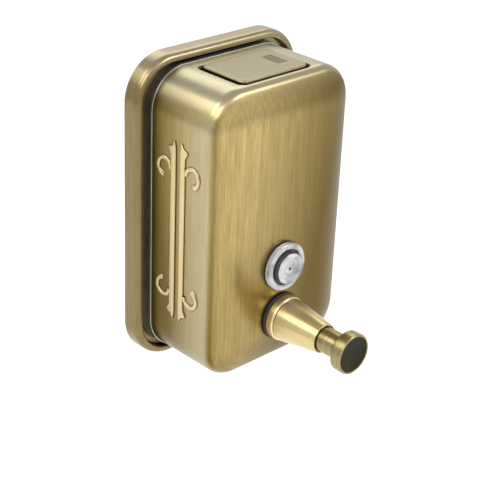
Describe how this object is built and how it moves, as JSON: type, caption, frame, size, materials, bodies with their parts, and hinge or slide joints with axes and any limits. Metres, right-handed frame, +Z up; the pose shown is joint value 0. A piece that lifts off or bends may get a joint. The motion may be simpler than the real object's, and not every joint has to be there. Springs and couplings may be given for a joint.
{
  "type": "wall-mounted soap pump dispenser",
  "caption": "Wall-hung soap dispenser with a drawn tank, rocking filling lid, round sight window, spring-returned push pump and scroll ornament on its sides",
  "frame": {"origin": "on the wall plane, at the middle of the back pan and of the wall plate's screw holes", "axes": "+X to the right as seen from the front, front towards -Y with the wall at y = 0, +Z up"},
  "size_m": [0.1076, 0.1106, 0.165],
  "materials": {
    "antique_brass": "brushed up and down, darkened in the hollows and clear-lacquered",
    "turned_brass": "turned, brushed round, darkened and lacquered",
    "plated_steel": "zinc-plated pressed sheet",
    "bare_steel": "plain stainless steel, dull polish",
    "black_plastic": "moulded, half gloss",
    "white_plastic": "natural moulded plastic",
    "clear_plastic": "clear moulded acrylic",
    "white_silicone": "translucent silicone ring",
    "black_rubber": "soft matt rubber"
  },
  "bodies": {
    "plate": {"wall_plate": "plated_steel"},
    "tank": {"hanger": "plated_steel", "back_pan": "antique_brass", "front_shell": "antique_brass", "seam_band": "bare_steel", "lid_frame": "black_plastic", "lid_pin": "bare_steel", "window_lens": "clear_plastic", "window_gasket": "white_silicone", "window_washer": "black_rubber", "window_nut": "white_plastic", "pump_gasket": "black_rubber", "pump_collar": "turned_brass", "pump_sleeve": "turned_brass", "guide_bush": "white_plastic", "pump_barrel": "white_plastic", "inner_gasket": "black_rubber", "rod_seal": "black_rubber", "inlet_elbow": "white_plastic", "dip_tube": "white_plastic", "return_spring": "bare_steel"},
    "lid": {"lid_cover": "antique_brass", "lid_tray": "black_plastic"},
    "plunger": {"stem_tube": "turned_brass", "plunger_rod": "white_plastic", "push_button": "turned_brass", "outlet_nozzle": "bare_steel", "piston": "white_plastic", "piston_seal": "black_rubber", "outlet_seat": "white_plastic"},
    "outlet_valve": {"outlet_ball": "bare_steel"},
    "inlet_valve": {"inlet_ball": "bare_steel"}
  },
  "joints": [
    {"name": "tank_lift_off", "type": "slide", "parent": "plate", "child": "tank", "axis": [0, 0, 1], "range_m": [0, 0.0115]},
    {"name": "lid_rock", "type": "hinge", "parent": "tank", "child": "lid", "pos_m": [0.0085, -0.0346, 0.0745], "axis": [0, 1, 0], "range_deg": [0, 75]},
    {"name": "pump_press", "type": "slide", "parent": "tank", "child": "plunger", "axis": [0, 1, 0], "range_m": [0, 0.012], "stiffness_N_per_m": 700, "springref_m": -0.004, "deforming": ["return_spring"]},
    {"name": "outlet_valve_lift", "type": "slide", "parent": "plunger", "child": "outlet_valve", "axis": [0, -1, 0], "range_m": [0, 0.0015]},
    {"name": "inlet_valve_lift", "type": "slide", "parent": "tank", "child": "inlet_valve", "axis": [0, 0, 1], "range_m": [0, 0.0025]}
  ]
}
